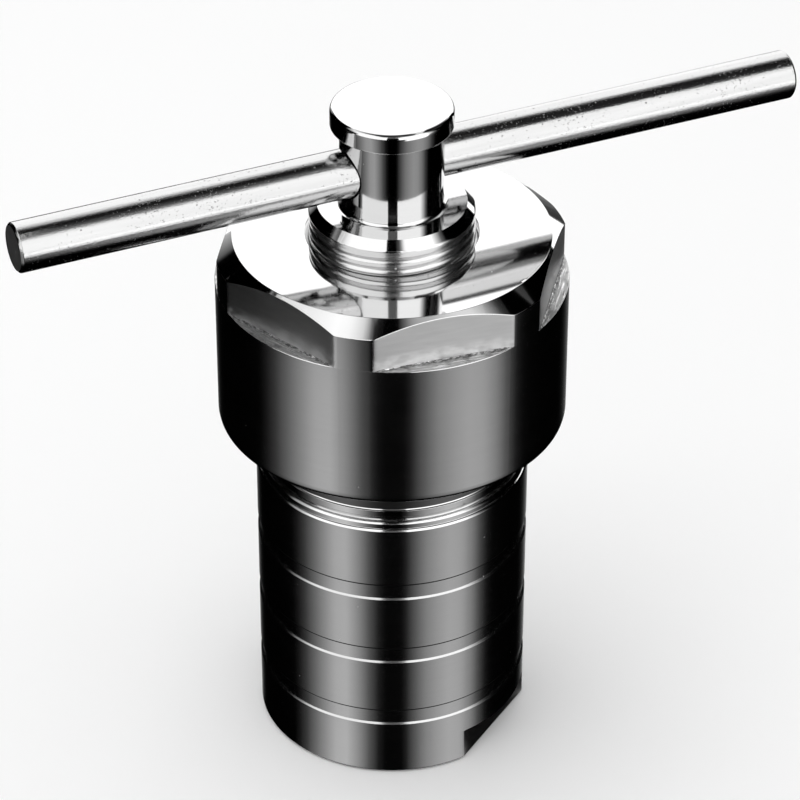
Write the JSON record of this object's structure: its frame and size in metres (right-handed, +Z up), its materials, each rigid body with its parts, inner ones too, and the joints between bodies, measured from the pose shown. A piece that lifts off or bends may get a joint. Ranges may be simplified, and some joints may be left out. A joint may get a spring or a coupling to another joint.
{
  "type": "hydrothermal reactor",
  "caption": "Stainless steel screw-cap pressure reactor with a plastic liner, spanner flats and a compression screw turned by a loose cross bar.",
  "frame": {"origin": "middle of the vessel's flat foot, on the vessel's axis", "axes": "+Z up along the vessel's axis, +X along the tommy bar, towards the end that stands out further"},
  "size_m": [0.2, 0.0856, 0.1744],
  "materials": {
    "steel_turned": "satin, fine turning lines",
    "steel_polished": "turned and polished",
    "steel_ground": "ground bar stock with handling marks",
    "steel_plain": "plain turned",
    "liner_plastic": "waxy white, turned"
  },
  "bodies": {
    "vessel": {"vessel": "steel_turned", "lower_pad": "steel_plain", "liner_cup": "liner_plastic"},
    "lid": {"liner_lid": "liner_plastic"},
    "cap": {"cap": "steel_turned"},
    "plate": {"thrust_plate": "steel_plain"},
    "screw": {"compression_screw": "steel_polished", "retaining_ring": "steel_plain"},
    "bar": {"tommy_bar": "steel_ground"}
  },
  "joints": [
    {"name": "cap_turn", "type": "hinge", "parent": "vessel", "child": "lid", "pos_m": [0, 0, 0.1], "axis": [0, 0, 1], "range_deg": [0, 3240]},
    {"name": "cap_rise", "type": "slide", "parent": "lid", "child": "cap", "axis": [0, 0, 1], "range_m": [0, 0.027]},
    {"name": "screw_rise", "type": "slide", "parent": "cap", "child": "plate", "axis": [0, 0, 1], "range_m": [0, 0.005]},
    {"name": "screw_turn", "type": "hinge", "parent": "plate", "child": "screw", "pos_m": [0, 0, 0.12], "axis": [0, 0, 1], "range_deg": [0, 720]},
    {"name": "bar_slide", "type": "slide", "parent": "screw", "child": "bar", "axis": [1, 0, 0], "range_m": [-0.0857, 0.0743]}
  ],
  "couplings": [
    {"joint": "cap_rise", "follows": "cap_turn", "m_per_rad": 0.00047746},
    {"joint": "screw_rise", "follows": "screw_turn", "m_per_rad": 0.00039788}
  ]
}
